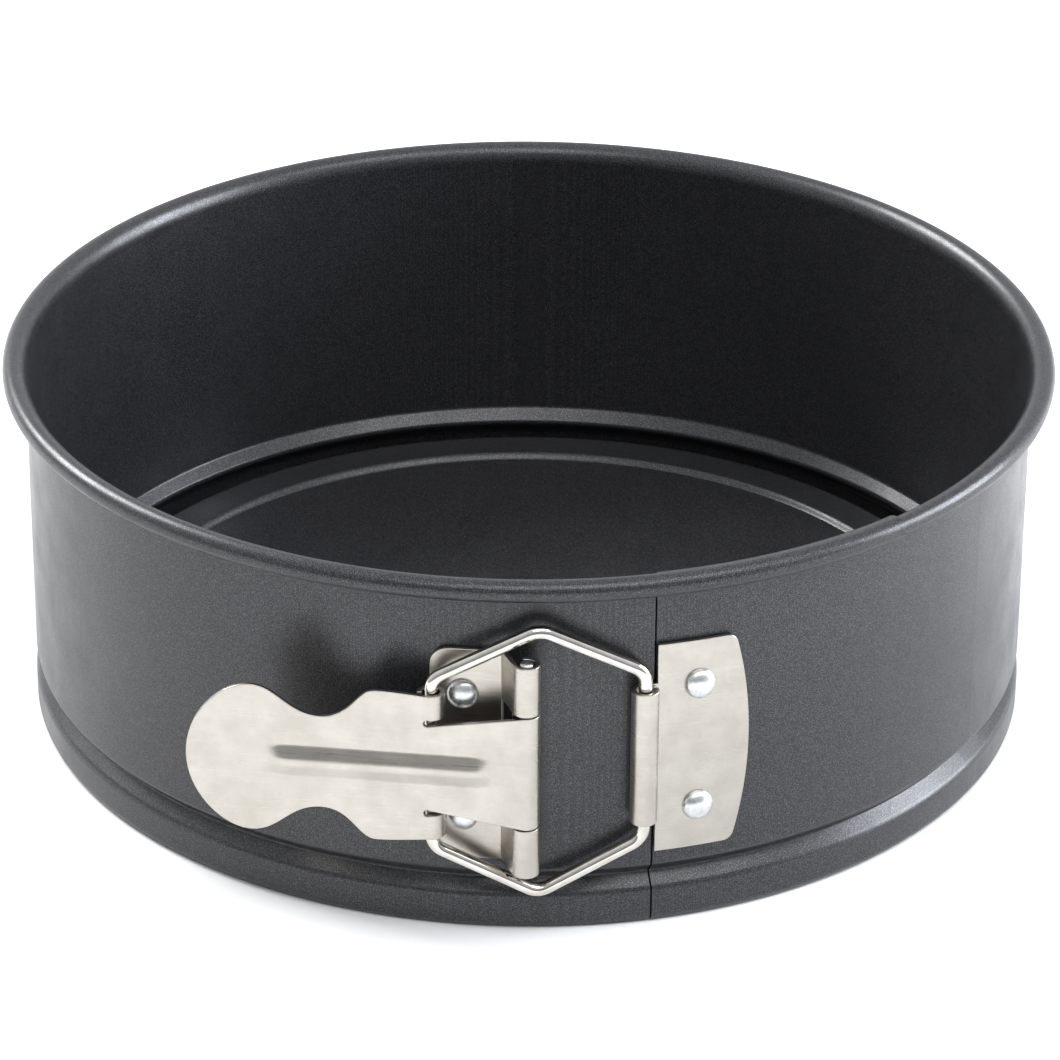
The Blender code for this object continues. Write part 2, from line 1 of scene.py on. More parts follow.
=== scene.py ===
import json
from math import asin, atan2, cos, pi, radians, sin, sqrt, tan

import bpy
from mathutils import Matrix, Vector
from mathutils.geometry import interpolate_bezier

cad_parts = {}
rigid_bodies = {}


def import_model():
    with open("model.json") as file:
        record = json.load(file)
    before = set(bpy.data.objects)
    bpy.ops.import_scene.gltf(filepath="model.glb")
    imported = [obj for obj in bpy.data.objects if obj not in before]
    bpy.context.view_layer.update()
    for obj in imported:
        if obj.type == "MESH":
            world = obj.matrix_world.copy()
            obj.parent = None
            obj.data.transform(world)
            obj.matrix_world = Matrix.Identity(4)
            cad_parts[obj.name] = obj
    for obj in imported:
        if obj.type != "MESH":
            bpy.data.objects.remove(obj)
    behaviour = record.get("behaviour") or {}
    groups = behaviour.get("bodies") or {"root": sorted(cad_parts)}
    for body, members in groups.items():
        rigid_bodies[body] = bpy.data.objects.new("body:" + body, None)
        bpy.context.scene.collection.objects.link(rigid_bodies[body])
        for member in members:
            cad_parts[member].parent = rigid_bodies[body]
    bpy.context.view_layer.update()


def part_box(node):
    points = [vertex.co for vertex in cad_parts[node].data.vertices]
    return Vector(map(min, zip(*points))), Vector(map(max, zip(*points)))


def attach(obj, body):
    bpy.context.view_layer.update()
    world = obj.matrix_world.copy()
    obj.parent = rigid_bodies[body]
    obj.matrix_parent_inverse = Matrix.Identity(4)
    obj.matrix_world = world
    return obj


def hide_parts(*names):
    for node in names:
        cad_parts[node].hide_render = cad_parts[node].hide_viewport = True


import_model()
print("frame loaded")

# Metres. Angles go round the pan from the hinge pin at the front, towards +X.
band = {
    "sheet": 0.0006,
    "roll": 0.0019,  # rolled rim, to the middle of the sheet
    "innerRoll": 0.0009,  # right end's rim, inside the left end's
    "restartRoll": 0.00140,  # right end's rim where it comes out of the left end's
    "shoulderReach": 0.0027,
    "shoulderHeight": 0.0036,
    "ridgeDepth": 0.0024,
    "ridgeHeight": 0.0103,
    "ridgeNose": 0.0007,
    "ridgeSlope": radians(45),
    "beadReach": 0.0002,
    "beadShoulder": 0.0020,
    "beadCorner": 0.0016,
    "wallCorner": 0.0016,
    "lip": 0.0079,
    "lap": 0.0010,  # from one sheet to the other where the ends overlap
    "seam": 0.0246,  # round the wall from the pin
    "tongue": 0.0508,
    "joggle": 0.00045,
    "seamGap": 0.00010,
    "flexAngles": (radians(60), radians(120)),
    "stepAngle": radians(1),
    "edgeRounding": 0.00012,
}
base = {
    "sheet": 0.0006,
    "skirtDraft": 0.0010,
    "borderWidth": 0.0086,
    "floorDrop": 0.0012,
    "foldRadius": 0.0016,
    "steps": 240,
}
latch = {
    "plate": 0.00095,
    "edgeRounding": 0.00016,
    "wallGap": 0.0003,
    "boreGap": 0.00035,
    "pinRadius": 0.00135,
    "wireRadius": 0.00135,
    "pinStandoff": 0.0060,
    "barrelDistance": 0.0219,
    "rivetPitch": 0.0264,
    "rollSteps": 26,
}
lever = {
    "length": 0.0645,
    "tilt": radians(7.1),
    "earArm": 0.0180,
    "tongueHalfWidth": 0.0091,
    "knuckleHalfHeight": 0.0120,
    "earHalfWidth": 0.0154,
    "slot": 0.0012,
    "slotDepth": 0.0004,  # the slots run this far past the bail's pivot
    "slotHole": 0.00072,
    "shoulder": (0.0282, 0.0161),
    "neck": (0.0388, 0.0098),
    "head": (0.0522, 0.0157),
    "shoulderCurve": 0.0036,
    "neckCurve": 0.0060,
    "headCurve": 0.0054,
    "tipCurve": 0.0088,
    "ribEnds": (0.0050, 0.0500),
    "ribHalfWidth": 0.0031,
    "ribRise": 0.0011,
    "crest": 0.0005,  # half width of the rib's top
    "cutsAcross": 7,  # bend lines in the rib's half width
    "cutSpacing": 0.0015,
    "cutsAlong": 41,
    "rollAngle": radians(285),
}
hingeBracket = {
    "halfHeight": 0.0226,
    "width": 0.0181,
    "corner": 0.0036,
    "rivetInset": 0.0062,
    "notchHalfHeight": 0.0123,
    "rollAngle": radians(270),
}
bailBracket = {
    "halfHeight": 0.0224,
    "width": 0.0154,
    "bulge": 0.0032,
    "corner": 0.0016,
    "barrelHalfHeight": 0.0142,
    "rivetInset": 0.0083,
    "rollAngle": radians(285),
}
bail = {
    "cornerHeight": 0.0180,
    "peakHeight": 0.0284,
    "peakX": 0.0024,
    "peakOut": 0.0014,
    "bend": 0.0040,
    "insideBarrel": 0.0008,
}
rivet = {"head": 0.0031, "dome": 0.0019, "shank": 0.0015, "length": 0.0017}
pin = {"halfLength": 0.0228, "crown": 0.0007}

baseLow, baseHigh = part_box("base_plate")
rimRadius = -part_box("band_left_side")[0].x
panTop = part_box("band_back")[1].z
panCentre = Vector((0, (baseLow.y + baseHigh.y) / 2, 0))
pinLow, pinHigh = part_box("hinge_pin")
latchHeight = (pinLow.z + pinHigh.z) / 2
wallMiddle = rimRadius - band["roll"] - band["sheet"] / 2 - band["shoulderReach"]
wallOuter = wallMiddle + band["sheet"] / 2
seamAngle = band["seam"] / wallOuter
tongueAngle = seamAngle + band["tongue"] / wallOuter
plateMiddle = wallOuter + latch["wallGap"] + latch["plate"] / 2
pinRoll = latch["pinRadius"] + latch["boreGap"] + latch["plate"] / 2
wireRoll = latch["wireRadius"] + latch["boreGap"] + latch["plate"] / 2
barrelAngle = latch["barrelDistance"] / wallOuter


def roundPan(angle, radius, height=0.0):
    return panCentre + Vector((radius * sin(angle), -radius * cos(angle), height))


def arcPoints(centre, radius, start, end, count):
    turns = [start + (end - start) * step / (count - 1) for step in range(count)]
    return [(centre[0] + radius * cos(turn), centre[1] + radius * sin(turn)) for turn in turns]


def nothingSelected():
    if bpy.context.object and bpy.context.object.mode == "EDIT":
        bpy.ops.object.mode_set(mode="OBJECT")
    for thing in bpy.context.view_layer.objects:
        thing.select_set(False)


def newPiece(name):  # an empty mesh at the origin, open in edit mode
    nothingSelected()
    bpy.ops.mesh.primitive_plane_add(size=0.01)
    piece = bpy.context.active_object
    piece.name = name
    piece.data.name = name
    bpy.ops.object.mode_set(mode="EDIT")
    bpy.ops.mesh.select_mode(type="VERT")
    bpy.ops.mesh.delete(type="VERT")
    return piece


def drawLine(points, closed=False):  # one vertex, extruded from point to point
    bpy.ops.mesh.select_all(action="DESELECT")
    bpy.ops.mesh.primitive_plane_add(size=0.0001, location=points[0])
    bpy.ops.mesh.merge(type="CENTER")
    route = list(points) + ([points[0]] if closed else [])
    for before, after in zip(route, route[1:]):
        bpy.ops.mesh.extrude_region_move(TRANSFORM_OT_translate={"value": after - before})


def choose(piece, wanted):  # selects the vertices whose place is wanted
    bpy.ops.mesh.select_mode(type="VERT")
    bpy.ops.mesh.select_all(action="DESELECT")
    bpy.ops.object.mode_set(mode="OBJECT")
    for corner in piece.data.vertices:
        corner.select = wanted(corner.co)
    bpy.ops.object.mode_set(mode="EDIT")


def spinRound(centre, angle, steps):  # anticlockwise seen from above
    bpy.ops.mesh.spin(steps=steps, angle=-angle, center=centre, axis=(0, 0, 1))


def cutAlong(point, normal):
    bpy.ops.mesh.select_all(action="SELECT")
    bpy.ops.mesh.bisect(plane_co=point, plane_no=normal, threshold=0.00002)


def mergeClose(distance=0.00001):
    bpy.ops.mesh.select_all(action="SELECT")
    bpy.ops.mesh.remove_doubles(threshold=distance)


def applyModifier(piece, kind, **settings):
    bpy.ops.object.mode_set(mode="OBJECT")
    step = piece.modifiers.new(kind.lower(), kind)
    for setting, value in settings.items():
        setattr(step, setting, value)
    bpy.ops.object.modifier_apply(modifier=step.name)


def thicken(piece, thickness):
    mergeClose()
    bpy.ops.mesh.normals_make_consistent(inside=False)
    applyModifier(piece, "SOLIDIFY", thickness=thickness, offset=0, use_even_offset=True)


def roundEdges(piece, width, segments=3):
    applyModifier(
        piece, "BEVEL", width=width, segments=segments, limit_method="ANGLE",
        angle_limit=radians(50), use_clamp_overlap=False,
    )


def finishPiece(piece, finish, body, slot, *nodes):
    if piece.mode != "EDIT":
        bpy.ops.object.mode_set(mode="EDIT")
    bpy.ops.mesh.select_all(action="SELECT")
    bpy.ops.mesh.normals_make_consistent(inside=False)
    bpy.ops.object.mode_set(mode="OBJECT")
    nothingSelected()
    piece.select_set(True)
    bpy.ops.object.shade_smooth_by_angle(angle=radians(35))
    applyModifier(piece, "WEIGHTED_NORMAL", keep_sharp=True)
    piece.data.materials.clear()
    piece.data.materials.append(finish)
    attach(piece, body)
    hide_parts(*nodes)
    piece.select_set(False)
    print("made", piece.name, len(piece.data.polygons), "faces")
    return piece


def newMaterial(name):
    material = bpy.data.materials.new(name)
    material.use_nodes = True
    return material, material.node_tree, material.node_tree.nodes["Principled BSDF"]


coating = {
    "colour": (0.007, 0.0074, 0.0085, 1),
    "fleck": (0.23, 0.228, 0.245, 1),
    "fleckScale": 5600,
    "peelScale": 800,
    "peelDepth": 0.000012,
    "roughness": (0.28, 0.38),
    "patchScale": 90,
    "fleckEdges": (0.50, 0.20),  # a cell's distance where its fleck starts and is full
}
nickel = {
    "colours": ((0.43, 0.40, 0.355, 1), (0.50, 0.472, 0.425, 1)),
    "grain": (70, 70, 3600),
    "grainDepth": 0.000010,
    "blotchScale": 160,
    "roughness": (0.24, 0.38),
}
wire = {
    "colours": ((0.58, 0.55, 0.50, 1), (0.72, 0.69, 0.64, 1)),
    "grain": (500, 2400, 500),
    "grainDepth": 0.000004,
    "blotchScale": 300,
    "roughness": (0.06, 0.14),
}
rivetMetal = {
    "colours": ((0.56, 0.57, 0.58, 1), (0.76, 0.77, 0.78, 1)),
    "grain": (1400, 1400, 1400),
    "grainDepth": 0.000016,
    "blotchScale": 500,
    "roughness": (0.24, 0.40),
}


def newGroup(name, entries, exits):
    group = bpy.data.node_groups.new(name, "ShaderNodeTree")
    for label, kind in entries:
        group.interface.new_socket(label, in_out="INPUT", socket_type=kind)
    for label, kind in exits:
        group.interface.new_socket(label, in_out="OUTPUT", socket_type=kind)
    return group, group.nodes.new("NodeGroupInput"), group.nodes.new("NodeGroupOutput")


def addNode(tree, kind, **values):
    node = tree.nodes.new(kind)
    for label, value in values.items():
        node.inputs[label.replace("_", " ")].default_value = value
    return node


def makeBlotches():  # soft cloudy patches, 0 to 1
    group, entry, leave = newGroup(
        "blotches", (("Place", "NodeSocketVector"), ("Scale", "NodeSocketFloat")),
        (("Mask", "NodeSocketFloat"),),
    )
    noise = addNode(group, "ShaderNodeTexNoise", Detail=5, Roughness=0.62)
    spread = addNode(group, "ShaderNodeMapRange", From_Min=0.34, From_Max=0.66)
    group.links.new(entry.outputs["Place"], noise.inputs["Vector"])
    group.links.new(entry.outputs["Scale"], noise.inputs["Scale"])
    group.links.new(noise.outputs["Fac"], spread.inputs["Value"])
    group.links.new(spread.outputs["Result"], leave.inputs["Mask"])
    return group


def makeGrain():  # noise stretched along the metal's grain, as a bump
    group, entry, leave = newGroup(
        "grain",
        (("Place", "NodeSocketVector"), ("Stretch", "NodeSocketVector"),
         ("Depth", "NodeSocketFloat")),
        (("Normal", "NodeSocketVector"), ("Lines", "NodeSocketFloat")),
    )
    stretch = addNode(group, "ShaderNodeVectorMath")
    stretch.operation = "MULTIPLY"
    noise = addNode(group, "ShaderNodeTexNoise", Scale=1, Detail=4, Roughness=0.6)
    bump = addNode(group, "ShaderNodeBump", Strength=0.8)
    group.links.new(entry.outputs["Place"], stretch.inputs[0])
    group.links.new(entry.outputs["Stretch"], stretch.inputs[1])
    group.links.new(stretch.outputs["Vector"], noise.inputs["Vector"])
    group.links.new(noise.outputs["Fac"], bump.inputs["Height"])
    group.links.new(entry.outputs["Depth"], bump.inputs["Distance"])
    group.links.new(bump.outputs["Normal"], leave.inputs["Normal"])
    group.links.new(noise.outputs["Fac"], leave.inputs["Lines"])
    return group


blotches = makeBlotches()
grain = makeGrain()


def addGroup(tree, group, place, **values):
    node = tree.nodes.new("ShaderNodeGroup")
    node.node_tree = group
    for label, value in values.items():
        node.inputs[label].default_value = value
    tree.links.new(place, node.inputs["Place"])
    return node


def addMix(tree, first, last, share):
    mix = tree.nodes.new("ShaderNodeMix")
    mix.data_type = "RGBA"
    mix.inputs["A"].default_value = first
    mix.inputs["B"].default_value = last
    tree.links.new(share, mix.inputs["Factor"])
    return mix


def makeMetal(name, look):
    material, tree, shader = newMaterial(name)
    shader.inputs["Metallic"].default_value = 1
    place = tree.nodes.new("ShaderNodeTexCoord").outputs["Object"]
    patch = addGroup(tree, blotches, place, Scale=look["blotchScale"])
    lines = addGroup(tree, grain, place, Stretch=look["grain"], Depth=look["grainDepth"])
    colour = addMix(tree, *look["colours"], patch.outputs["Mask"])
    smooth, rough = look["roughness"]
    dull = addNode(tree, "ShaderNodeMapRange", From_Min=0.25, From_Max=0.75)
    dull.inputs["To Min"].default_value = smooth
    dull.inputs["To Max"].default_value = rough
    tree.links.new(lines.outputs["Lines"], dull.inputs["Value"])
    tree.links.new(colour.outputs["Result"], shader.inputs["Base Color"])
    tree.links.new(dull.outputs["Result"], shader.inputs["Roughness"])
    tree.links.new(lines.outputs["Normal"], shader.inputs["Normal"])
    return material


def makeCoating():
    material, tree, shader = newMaterial("coatedSteel")
    place = tree.nodes.new("ShaderNodeTexCoord").outputs["Object"]
    cells = addNode(tree, "ShaderNodeTexVoronoi", Scale=coating["fleckScale"])
    faint, full = coating["fleckEdges"]
    fleck = addNode(tree, "ShaderNodeMapRange", From_Min=faint, From_Max=full)
    patch = addGroup(tree, blotches, place, Scale=coating["patchScale"])
    thin = tree.nodes.new("ShaderNodeMath")
    thin.operation = "MULTIPLY"
    peel = addGroup(
        tree, grain, place, Stretch=(coating["peelScale"],) * 3, Depth=coating["peelDepth"],
    )
    dull = addNode(tree, "ShaderNodeMapRange")
    dull.inputs["To Min"].default_value = coating["roughness"][0]
    dull.inputs["To Max"].default_value = coating["roughness"][1]
    tree.links.new(place, cells.inputs["Vector"])
    tree.links.new(cells.outputs["Distance"], fleck.inputs["Value"])
    tree.links.new(fleck.outputs["Result"], thin.inputs[0])
    tree.links.new(cells.outputs["Color"], thin.inputs[1])
    colour = addMix(tree, coating["colour"], coating["fleck"], thin.outputs["Value"])
    tree.links.new(patch.outputs["Mask"], dull.inputs["Value"])
    tree.links.new(colour.outputs["Result"], shader.inputs["Base Color"])
    tree.links.new(thin.outputs["Value"], shader.inputs["Metallic"])
    tree.links.new(dull.outputs["Result"], shader.inputs["Roughness"])
    tree.links.new(peel.outputs["Normal"], shader.inputs["Normal"])
    return material


coatedSteel = makeCoating()
satinNickel = makeMetal("satinNickel", nickel)
brightWire = makeMetal("brightWire", wire)
rivetSteel = makeMetal("rivetSteel", rivetMetal)


def bandOutline(roll):  # (radius, height) from the lip to the end of the rolled rim
    bead = wallMiddle + band["beadReach"]
    low = band["sheet"] / 2
    corner = band["beadCorner"]
    points = [(bead - band["lip"], low)]
    points += arcPoints((bead - corner, low + corner), corner, -pi / 2, 0, 7)
    nose = band["ridgeNose"]
    slope = band["ridgeSlope"]
    noseCentre = (wallMiddle - band["ridgeDepth"] + nose, band["ridgeHeight"])
    noseArc = arcPoints(noseCentre, nose, pi + slope, pi - slope, 8)
    bendRadius = band["beadShoulder"]
    run = bead - bendRadius * (1 - cos(slope)) - noseArc[0][0]
    top = noseArc[0][1] - run * tan(slope)
    points += arcPoints((bead - bendRadius, top - bendRadius * sin(slope)), bendRadius, 0, slope, 7)
    points += noseArc
    fold = band["wallCorner"]
    ledge = noseArc[-1][1] + (wallMiddle - noseArc[-1][0]) * tan(slope)
    bendCentre = (wallMiddle - fold, ledge + fold * tan((pi / 2 - slope) / 2))
    points += arcPoints(bendCentre, fold, slope - pi / 2, 0, 6)
    rollCentre = (wallMiddle + band["shoulderReach"], panTop - band["roll"] - band["sheet"] / 2)
    turn = rollCentre[1] + band["roll"] - band["shoulderHeight"]
    rise = rollCentre[1] + roll - turn
    for step in range(12, 0, -1):
        angle = step / 12 * pi / 2
        reach = band["shoulderReach"] * sin(angle)
        points.append((rollCentre[0] - reach, turn + rise * cos(angle)))
    points += arcPoints(rollCentre, roll, pi / 2, radians(-100), 20)
    return points


def movedInwards(outline, distance):  # shifted square to itself, towards the cake
    moved = []
    for index, here in enumerate(outline):
        before = Vector(outline[max(index - 1, 0)])
        after = Vector(outline[min(index + 1, len(outline) - 1)])
        here = Vector(here)
        first = (here - before).normalized() if index else (after - here).normalized()
        last = (after - here).normalized() if (after - here).length else first
        across = Vector((-first.y - last.y, first.x + last.x)).normalized()
        moved.append(tuple(here + across * distance / across.dot(Vector((-first.y, first.x)))))
    return moved


def placed(outline, angle):
    return [roundPan(angle, radius, height) for radius, height in outline]


def sweep(outline, start, end):
    drawLine(placed(outline, start))
    bpy.ops.mesh.select_linked()
    spinRound(panCentre, end - start, max(1, round((end - start) / band["stepAngle"])))


def angleOf(place):
    return atan2(place.x, panCentre.y - place.y)


def bridgeEnds(piece, first, last):  # joins the two open ends at these angles
    choose(piece, lambda place: min(abs(angleOf(place) - end) for end in (first, last)) < 0.00005)
    bpy.ops.mesh.bridge_edge_loops()


def buildBand():
    plain = bandOutline(band["roll"])
    swaged = bandOutline(band["innerRoll"])
    inside = movedInwards(swaged, band["lap"])
    restart = bandOutline(band["restartRoll"])
    near, far = band["flexAngles"]
    for name, start, end in (
        ("band_back", far, 2 * pi - far),
        ("band_right_side", near, far),
        ("band_left_side", -far, -near),
    ):
        piece = newPiece(name.replace("_", " ").title().replace(" ", ""))
        sweep(plain, start, end)
        thicken(piece, band["sheet"])
        finishPiece(piece, coatedSteel, name, "coated_steel", name)

    joggle = band["joggle"] / wallOuter
    gap = band["seamGap"] / wallOuter
    piece = newPiece("BandLeftFront")
    sweep(plain, -near, seamAngle - gap - joggle)
    sweep(inside, seamAngle - gap, tongueAngle)
    bridgeEnds(piece, seamAngle - gap - joggle, seamAngle - gap)
    thicken(piece, band["sheet"])
    finishPiece(piece, coatedSteel, "band_left_front", "coated_steel", "band_left_front")

    piece = newPiece("BandRightFront")
    swageEnd = tongueAngle - 3 * gap
    sweep(swaged, seamAngle, swageEnd)
    start = tongueAngle + 2 * gap
    count = 9
    ends = [swageEnd]
    for step in range(count):
        share = step / (count - 1)
        angle = start + (near - start) * share
        ring = []
        for first, last in zip(restart, plain):
            ring.append(tuple(a + (b - a) * share for a, b in zip(first, last)))
        drawLine(placed(ring, angle))
        ends.append(angle)
    for first, last in zip(ends, ends[1:]):
        bridgeEnds(piece, first, last)
    thicken(piece, band["sheet"])
    finishPiece(piece, coatedSteel, "band_right_front", "coated_steel", "band_right_front")


def buildBase():
    foot = baseHigh.x - base["sheet"] / 2
    top = baseHigh.z - base["sheet"] / 2
    edge = foot - base["skirtDraft"]
    fold = base["foldRadius"]
    points = [(foot, baseLow.z)]
    points += arcPoints((edge - fold, top - fold), fold, 0, pi / 2, 8)
    stepEdge = edge - base["borderWidth"]
    for step in range(9):
        share = step / 8
        fall = base["floorDrop"] * (1 - cos(share * pi)) / 2
        points.append((stepEdge - 1.5 * base["floorDrop"] * share, top - fall))
    points.append((0.03, top - base["floorDrop"]))
    points.append((0, top - base["floorDrop"]))
    piece = newPiece("BasePlate")
    drawLine([roundPan(0, radius, height) for radius, height in points])
    bpy.ops.mesh.select_all(action="SELECT")
    spinRound(panCentre, 2 * pi, base["steps"])
    thicken(piece, base["sheet"])
    finishPiece(piece, coatedSteel, "base", "coated_steel", "base_plate")


pinAxis = roundPan(0, wallOuter + latch["pinStandoff"], latchHeight)
leverAlong = Vector((-cos(lever["tilt"]), sin(lever["tilt"]), 0))
leverOut = Vector((-sin(lever["tilt"]), -cos(lever["tilt"]), 0))
earAxis = pinAxis + lever["earArm"] * leverAlong
barrelAxis = roundPan(barrelAngle, plateMiddle + wireRoll, latchHeight)


def onLever(u, v, out=pinRoll):
    return pinAxis + u * leverAlong + out * leverOut + Vector((0, 0, v))


def leverPlace(place):
    away = place - pinAxis
    return away.dot(leverAlong), away.z


def curveBetween(first, firstHandle, lastHandle, last, count):
    knots = [Vector((*knot, 0)) for knot in (first, firstHandle, lastHandle, last)]
    return [(point.x, point.y) for point in interpolate_bezier(*knots, count)]


def leverOutline():  # upper half as (u, v), from the slot to the tip
    half = lever["tongueHalfWidth"]
    slotEnd = lever["earArm"] + lever["slotDepth"]
    hole = (slotEnd, half + lever["slot"] / 2)
    reach = asin(lever["slot"] / 2 / lever["slotHole"])
    points = arcPoints(hole, lever["slotHole"], reach - pi, pi - reach, 11)
    ear = (lever["earArm"], lever["earHalfWidth"])
    points += [(lever["earArm"], half + lever["slot"]), ear]
    shoulder, neck, head = lever["shoulder"], lever["neck"], lever["head"]
    bow = lever["shoulderCurve"]
    waist = lever["neckCurve"]
    swell = lever["headCurve"]
    towards = (ear[0] + (shoulder[0] - ear[0]) / 3, ear[1] + (shoulder[1] - ear[1]) / 3)
    points += curveBetween(ear, towards, (shoulder[0] - bow, shoulder[1]), shoulder, 8)[1:]
    points += curveBetween(
        shoulder, (shoulder[0] + bow, shoulder[1]), (neck[0] - waist, neck[1]), neck, 16,
    )[1:]
    points += curveBetween(
        neck, (neck[0] + waist, neck[1]), (head[0] - swell, head[1]), head, 16,
    )[1:]
    tip = (lever["length"], 0)
    points += curveBetween(
        head, (head[0] + lever["headCurve"], head[1]), (tip[0], lever["tipCurve"]), tip, 18,
    )[1:]
    return points


def buildLever():
    upper = leverOutline()
    wide = lever["knuckleHalfHeight"]
    outline = upper + [(u, -v) for u, v in reversed(upper[:-1])] + [(0, -wide), (0, wide)]
    piece = newPiece("Lever")
    drawLine([onLever(u, v) for u, v in outline], closed=True)
    mergeClose()
    bpy.ops.mesh.edge_face_add()
    half = lever["ribHalfWidth"]
    cuts = lever["cutsAcross"]
    for step in range(-cuts - 1, cuts + 2):
        cutAlong(onLever(0, half * step / cuts), (0, 0, 1))
    for step in range(1, lever["cutsAlong"] + 1):
        cutAlong(onLever(lever["cutSpacing"] * step, 0), leverAlong)
    earInner = lever["tongueHalfWidth"] + lever["slot"]
    mergeClose(0.00004)

    start, end = lever["ribEnds"]

    def onCrest(place):
        u, v = leverPlace(place)
        return abs(v) < lever["crest"] and start + half < u < end - half

    choose(piece, onCrest)
    bpy.ops.transform.translate(
        value=lever["ribRise"] * leverOut, use_proportional_edit=True,
        proportional_edit_falloff="LINEAR", proportional_size=half - 0.0003,
    )

    def atKnuckle(place):
        u, v = leverPlace(place)
        return abs(u) < 0.00003 and abs(v) < wide + 0.0001

    choose(piece, atKnuckle)
    spinRound(pinAxis, lever["rollAngle"], latch["rollSteps"])
    for side in (-1, 1):
        def atEar(place):
            u, v = leverPlace(place)
            onPlate = abs((place - pinAxis).dot(leverOut) - pinRoll) < 0.00003
            return abs(u - lever["earArm"]) < 0.00003 and side * v > earInner - 0.0001 and onPlate

        choose(piece, atEar)
        spinRound(earAxis, lever["rollAngle"], latch["rollSteps"])
    thicken(piece, latch["plate"])
    roundEdges(piece, latch["edgeRounding"])
    finishPiece(piece, satinNickel, "lever", "satin_nickel", "lever")


def roundedCorner(before, corner, after, radius, count):
    inward = (before - corner).normalized()
    outward = (after - corner).normalized()
    half = inward.angle(outward) / 2
    centre = corner + (inward + outward).normalized() * radius / sin(half)
    start = corner + inward * radius / tan(half)
    end = corner + outward * radius / tan(half)
    sweepAngle = (start - centre).angle(end - centre)
    points = []
    for step in range(count):
        share = step / (count - 1)
        first = sin((1 - share) * sweepAngle) / sin(sweepAngle)
        last = sin(share * sweepAngle) / sin(sweepAngle)
        points.append(centre + (start - centre) * first + (end - centre) * last)
    return points


def buildBail():
    high = Vector((0, 0, bail["cornerHeight"]))
    middleDepth = (earAxis.y + barrelAxis.y) / 2 - bail["peakOut"]
    middle = Vector((bail["peakX"], middleDepth, latchHeight + bail["peakHeight"]))
    stub = Vector((0, 0, bailBracket["barrelHalfHeight"] - bail["insideBarrel"]))
    upper = [barrelAxis + stub, barrelAxis + high, middle, earAxis + high]
    lower = [Vector((place.x, place.y, 2 * latchHeight - place.z)) for place in reversed(upper)]
    route = upper + lower
    points = [route[0]]
    for before, corner, after in zip(route, route[1:], route[2:]):
        points += roundedCorner(before, corner, after, bail["bend"], 14)
    points.append(route[-1])
    piece = newPiece("Bail")
    drawLine(points)
    bpy.ops.object.mode_set(mode="OBJECT")
    piece.select_set(True)
    bpy.ops.object.convert(target="CURVE")
    wire = bpy.context.active_object
    wire.data.bevel_depth = latch["wireRadius"]
    wire.data.bevel_resolution = 6
    wire.data.use_fill_caps = True
    bpy.ops.object.convert(target="MESH")
    piece = bpy.context.active_object
    bpy.ops.object.mode_set(mode="EDIT")
    mergeClose()
    finishPiece(piece, brightWire, "bail", "bright_wire", "bail")


def plateOnWall(piece, outline, corners, cuts):
    # Drawn flat as (distance round the wall from the pin, height), then bent to the wall.
    drawLine([Vector((across, 0, up)) for across, up in outline], closed=True)
    mergeClose()
    bpy.ops.mesh.edge_face_add()
    for place, radius in corners:
        choose(piece, lambda at: (at - Vector((place[0], 0, place[1]))).length < 0.00005)
        bpy.ops.mesh.bevel(offset=radius, segments=6, affect="VERTICES")
    wide = max(across for across, up in outline) - min(across for across, up in outline)
    start = min(across for across, up in outline)
    for step in range(1, 16):
        cutAlong((start + wide * step / 16, 0, 0), (1, 0, 0))
    for height in cuts:
        cutAlong((0, 0, height), (0, 0, 1))
    mergeClose(0.00004)
    applyModifier(
        piece, "SIMPLE_DEFORM", deform_method="BEND", deform_axis="Z", angle=wide / plateMiddle,
    )
    bpy.ops.object.mode_set(mode="EDIT")
    bpy.ops.mesh.select_all(action="SELECT")
    bpy.ops.transform.translate(value=roundPan(0, plateMiddle, latchHeight))


def buildHingeBracket():
    high = hingeBracket["halfHeight"]
    notch = hingeBracket["notchHalfHeight"]
    left = -hingeBracket["width"] * plateMiddle / wallOuter
    foot = -2 * pinRoll * plateMiddle / wallOuter
    piece = newPiece("HingeBracket")
    outline = [(left, -high), (foot, -high), (foot, high), (left, high)]
    corner = hingeBracket["corner"]
    plateOnWall(piece, outline, (((left, -high), corner), ((left, high), corner)), (-notch, notch))
    footPlace = roundPan(foot / plateMiddle, plateMiddle)
    axis = Vector((pinAxis.x, pinAxis.y, 0))
    towards = axis - footPlace
    spread = asin(pinRoll / towards.length)
    heading = atan2(towards.y, towards.x) - spread
    run = sqrt(towards.length ** 2 - pinRoll ** 2)
    flange = run * Vector((cos(heading), sin(heading), 0))
    for side in (-1, 1):
        def atFoot(place):
            up = (place.z - latchHeight) * side
            return abs(place.x - footPlace.x) < 0.00005 and up > notch - 0.0001

        choose(piece, atFoot)
        bpy.ops.mesh.extrude_region_move(TRANSFORM_OT_translate={"value": flange})
        spinRound(pinAxis, hingeBracket["rollAngle"], latch["rollSteps"])
    thicken(piece, latch["plate"])
    roundEdges(piece, latch["edgeRounding"])
    finishPiece(piece, satinNickel, "band_left_front", "satin_nickel", "hinge_bracket")


